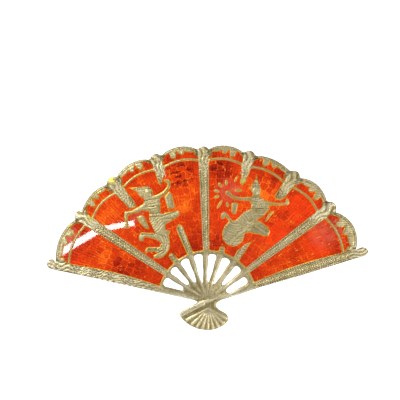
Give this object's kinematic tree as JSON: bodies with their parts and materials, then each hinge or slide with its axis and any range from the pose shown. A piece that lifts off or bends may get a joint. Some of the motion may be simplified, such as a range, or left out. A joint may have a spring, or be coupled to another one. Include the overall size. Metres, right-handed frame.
{
  "type": "fan brooch",
  "caption": "Domed, pierced brooch shaped as an open folding fan with two dancers in red enamel cells, a hinged pin and a turning safety catch on its back.",
  "frame": {"origin": "under the middle of the brooch's outline, on the flat surface that it lies on face up", "axes": "+Z out of the face, +X to the viewer's right across the fan's span, +Y from the handle fan towards the scalloped rim"},
  "size_m": [0.0604, 0.0347, 0.0062],
  "materials": {
    "gilt_silver": "pale gilding on cast silver, chased with fine chisel strokes, soft shine",
    "red_enamel": "glossy orange-red translucent enamel over an engraved ground",
    "plain_silver": "plain drawn silver wire and turned silver, lightly brushed"
  },
  "bodies": {
    "brooch": {"fan_casting": "gilt_silver", "enamel_panel_right": "red_enamel", "enamel_panel_kneeling_dancer": "red_enamel", "enamel_panel_standing_dancer": "red_enamel", "enamel_panel_left": "red_enamel", "enamel_border_1": "red_enamel", "enamel_border_2": "red_enamel", "enamel_border_3": "red_enamel", "enamel_border_4": "red_enamel", "enamel_border_5": "red_enamel", "enamel_border_6": "red_enamel", "enamel_border_7": "red_enamel", "enamel_border_8": "red_enamel", "hinge_bracket": "gilt_silver", "hinge_rivet": "plain_silver", "catch_body": "gilt_silver"},
    "pin": {"pin": "plain_silver"},
    "catch_roller": {"catch_roller": "plain_silver"}
  },
  "joints": [
    {"name": "pin_hinge", "type": "hinge", "parent": "brooch", "child": "pin", "pos_m": [-0.01735, 0.00517, 0.0013], "axis": [0, 1, 0], "range_deg": [0, 95]},
    {"name": "catch_lock", "type": "hinge", "parent": "brooch", "child": "catch_roller", "pos_m": [0.01675, 0.00517, 0.0013], "axis": [1, 0, 0], "range_deg": [-140, 0]}
  ]
}
